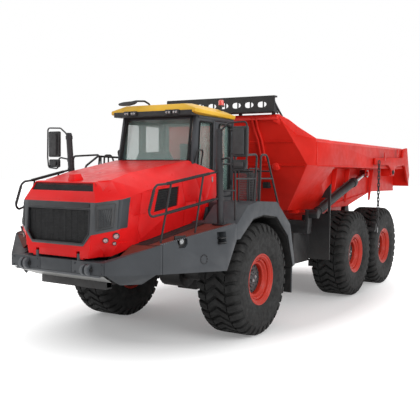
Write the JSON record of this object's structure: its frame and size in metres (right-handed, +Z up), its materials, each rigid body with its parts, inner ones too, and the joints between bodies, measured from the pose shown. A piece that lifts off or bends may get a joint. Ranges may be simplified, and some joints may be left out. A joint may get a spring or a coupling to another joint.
{
  "type": "articulated dump truck",
  "caption": "Articulated dump truck with centre cab, tilting hood, tipping bed with chain-pulled tailgate and steering hitch.",
  "frame": {"origin": "bottom centre of the box around the truck, on the ground", "axes": "front faces -Y, +X is the truck's left, +Z up"},
  "size_m": [4.04, 11.11, 4.08],
  "materials": {
    "hood_red": "gloss",
    "bed_red": "satin",
    "rim_orange": "satin",
    "slate_grey": "satin",
    "chassis_black": "satin",
    "engine_steel": "matte",
    "rod_steel": "polished",
    "chain_steel": "dark",
    "tyre_rubber": "matte",
    "roof_yellow": "satin",
    "tinted_glass": "polished",
    "seat_fabric": "woven",
    "black_plastic": "matte",
    "beacon_orange": "gloss"
  },
  "bodies": {
    "front_chassis": {"front_frame": "chassis_black", "radiator": "chassis_black", "engine": "engine_steel", "front_axle": "chassis_black", "bumper": "slate_grey", "side_box_left": "slate_grey", "side_box_right": "slate_grey", "fender_left": "slate_grey", "fender_right": "slate_grey", "rails_left": "slate_grey", "rails_right": "slate_grey", "cab_shell": "slate_grey", "cab_roof": "roof_yellow", "windscreen": "tinted_glass", "rear_pane": "tinted_glass", "left_pane": "tinted_glass", "right_pane": "tinted_glass", "driver_seat": "seat_fabric", "console": "black_plastic", "roof_mirror": "black_plastic", "beacon": "beacon_orange"},
    "cab_door": {"cab_door": "slate_grey", "door_pane": "tinted_glass"},
    "hood": {"hood_shell": "hood_red", "grille": "slate_grey"},
    "yoke": {"yoke": "chassis_black"},
    "rear_chassis": {"rear_frame": "chassis_black", "middle_axle": "chassis_black", "rear_axle": "chassis_black", "walking_beam_left": "chassis_black", "walking_beam_right": "chassis_black"},
    "bed": {"bed_tub": "bed_red", "bed_sills": "bed_red", "headboard": "chassis_black"},
    "tailgate": {"tailgate": "bed_red"},
    "wheel_front_left": {"tyre_front_left": "tyre_rubber", "rim_front_left": "rim_orange"},
    "wheel_front_right": {"tyre_front_right": "tyre_rubber", "rim_front_right": "rim_orange"},
    "wheel_middle_left": {"tyre_middle_left": "tyre_rubber", "rim_middle_left": "rim_orange"},
    "wheel_middle_right": {"tyre_middle_right": "tyre_rubber", "rim_middle_right": "rim_orange"},
    "wheel_rear_left": {"tyre_rear_left": "tyre_rubber", "rim_rear_left": "rim_orange"},
    "wheel_rear_right": {"tyre_rear_right": "tyre_rubber", "rim_rear_right": "rim_orange"},
    "hoist_barrel_left": {"hoist_barrel_left": "chassis_black"},
    "hoist_rod_left": {"hoist_rod_left": "rod_steel"},
    "steer_barrel_left": {"steer_barrel_left": "chassis_black"},
    "steer_rod_left": {"steer_rod_left": "rod_steel"},
    "chain_left": {"chain_left": "chain_steel"},
    "hoist_barrel_right": {"hoist_barrel_right": "chassis_black"},
    "hoist_rod_right": {"hoist_rod_right": "rod_steel"},
    "steer_barrel_right": {"steer_barrel_right": "chassis_black"},
    "steer_rod_right": {"steer_rod_right": "rod_steel"},
    "chain_right": {"chain_right": "chain_steel"}
  },
  "joints": [
    {"name": "wheel_front_left_spin", "type": "hinge", "parent": "front_chassis", "child": "wheel_front_left", "pos_m": [1.34, -2.495, 0.925], "axis": [1, 0, 0], "continuous": true},
    {"name": "wheel_front_right_spin", "type": "hinge", "parent": "front_chassis", "child": "wheel_front_right", "pos_m": [-1.34, -2.495, 0.925], "axis": [1, 0, 0], "continuous": true},
    {"name": "wheel_middle_left_spin", "type": "hinge", "parent": "rear_chassis", "child": "wheel_middle_left", "pos_m": [1.34, 1.945, 0.925], "axis": [1, 0, 0], "continuous": true},
    {"name": "wheel_middle_right_spin", "type": "hinge", "parent": "rear_chassis", "child": "wheel_middle_right", "pos_m": [-1.34, 1.945, 0.925], "axis": [1, 0, 0], "continuous": true},
    {"name": "wheel_rear_left_spin", "type": "hinge", "parent": "rear_chassis", "child": "wheel_rear_left", "pos_m": [1.34, 3.895, 0.925], "axis": [1, 0, 0], "continuous": true},
    {"name": "wheel_rear_right_spin", "type": "hinge", "parent": "rear_chassis", "child": "wheel_rear_right", "pos_m": [-1.34, 3.895, 0.925], "axis": [1, 0, 0], "continuous": true},
    {"name": "articulation_steer", "type": "hinge", "parent": "front_chassis", "child": "yoke", "pos_m": [0, -1.135, 0.95], "axis": [0, 0, 1], "range_deg": [-42, 42]},
    {"name": "frame_oscillation", "type": "hinge", "parent": "yoke", "child": "rear_chassis", "pos_m": [0, -0.615, 0.95], "axis": [0, 1, 0], "range_deg": [-15, 15]},
    {"name": "bed_tip", "type": "hinge", "parent": "rear_chassis", "child": "bed", "pos_m": [0, 4.455, 1.78], "axis": [-1, 0, 0], "range_deg": [0, 70]},
    {"name": "tailgate_swing", "type": "hinge", "parent": "bed", "child": "tailgate", "pos_m": [0, 4.105, 2.71], "axis": [1, 0, 0], "range_deg": [0, 80]},
    {"name": "cab_door_swing", "type": "hinge", "parent": "front_chassis", "child": "cab_door", "pos_m": [0.79, -1.981, 2.25], "axis": [0, 0, 1], "range_deg": [0, 80]},
    {"name": "hood_tilt", "type": "hinge", "parent": "front_chassis", "child": "hood", "pos_m": [0, -5.4, 1.5], "axis": [1, 0, 0], "range_deg": [0, 50]},
    {"name": "hoist_pivot_left", "type": "hinge", "parent": "rear_chassis", "child": "hoist_barrel_left", "pos_m": [1.4, 0.255, 1.855], "axis": [1, 0, 0], "range_deg": [0, 6]},
    {"name": "hoist_stroke_left", "type": "slide", "parent": "hoist_barrel_left", "child": "hoist_rod_left", "axis": [0, 0.9617, 0.2741], "range_m": [0, 1.84]},
    {"name": "steer_pivot_left", "type": "hinge", "parent": "front_chassis", "child": "steer_barrel_left", "pos_m": [0.38, -2.115, 0.9], "axis": [0, 0, 1], "range_deg": [-6.2, 6.2]},
    {"name": "steer_stroke_left", "type": "slide", "parent": "steer_barrel_left", "child": "steer_rod_left", "axis": [0.0169, 0.9999, 0], "range_m": [-0.28, 0.28]},
    {"name": "chain_swing_left", "type": "hinge", "parent": "rear_chassis", "child": "chain_left", "pos_m": [1.827, 2.915, 1.5], "axis": [-1, 0, 0], "range_deg": [0, 49]},
    {"name": "hoist_pivot_right", "type": "hinge", "parent": "rear_chassis", "child": "hoist_barrel_right", "pos_m": [-1.4, 0.255, 1.855], "axis": [1, 0, 0], "range_deg": [0, 6]},
    {"name": "hoist_stroke_right", "type": "slide", "parent": "hoist_barrel_right", "child": "hoist_rod_right", "axis": [0, 0.9617, 0.2741], "range_m": [0, 1.84]},
    {"name": "steer_pivot_right", "type": "hinge", "parent": "front_chassis", "child": "steer_barrel_right", "pos_m": [-0.38, -2.115, 0.9], "axis": [0, 0, 1], "range_deg": [-6.2, 6.2]},
    {"name": "steer_stroke_right", "type": "slide", "parent": "steer_barrel_right", "child": "steer_rod_right", "axis": [-0.0169, 0.9999, 0], "range_m": [-0.28, 0.28]},
    {"name": "chain_swing_right", "type": "hinge", "parent": "rear_chassis", "child": "chain_right", "pos_m": [-1.827, 2.915, 1.5], "axis": [-1, 0, 0], "range_deg": [0, 49]}
  ],
  "couplings": [
    {"joint": "tailgate_swing", "follows": "bed_tip", "ratio": 1.1362},
    {"joint": "hoist_pivot_left", "follows": "bed_tip", "ratio": 0.029},
    {"joint": "hoist_stroke_left", "follows": "bed_tip", "m_per_rad": 1.5028},
    {"joint": "steer_pivot_left", "follows": "articulation_steer", "ratio": 0.1453},
    {"joint": "steer_stroke_left", "follows": "articulation_steer", "m_per_rad": 0.3755},
    {"joint": "chain_swing_left", "follows": "bed_tip", "ratio": 0.6885},
    {"joint": "hoist_pivot_right", "follows": "bed_tip", "ratio": 0.029},
    {"joint": "hoist_stroke_right", "follows": "bed_tip", "m_per_rad": 1.5028},
    {"joint": "steer_pivot_right", "follows": "articulation_steer", "ratio": 0.1453},
    {"joint": "steer_stroke_right", "follows": "articulation_steer", "m_per_rad": -0.3755},
    {"joint": "chain_swing_right", "follows": "bed_tip", "ratio": 0.6885}
  ]
}
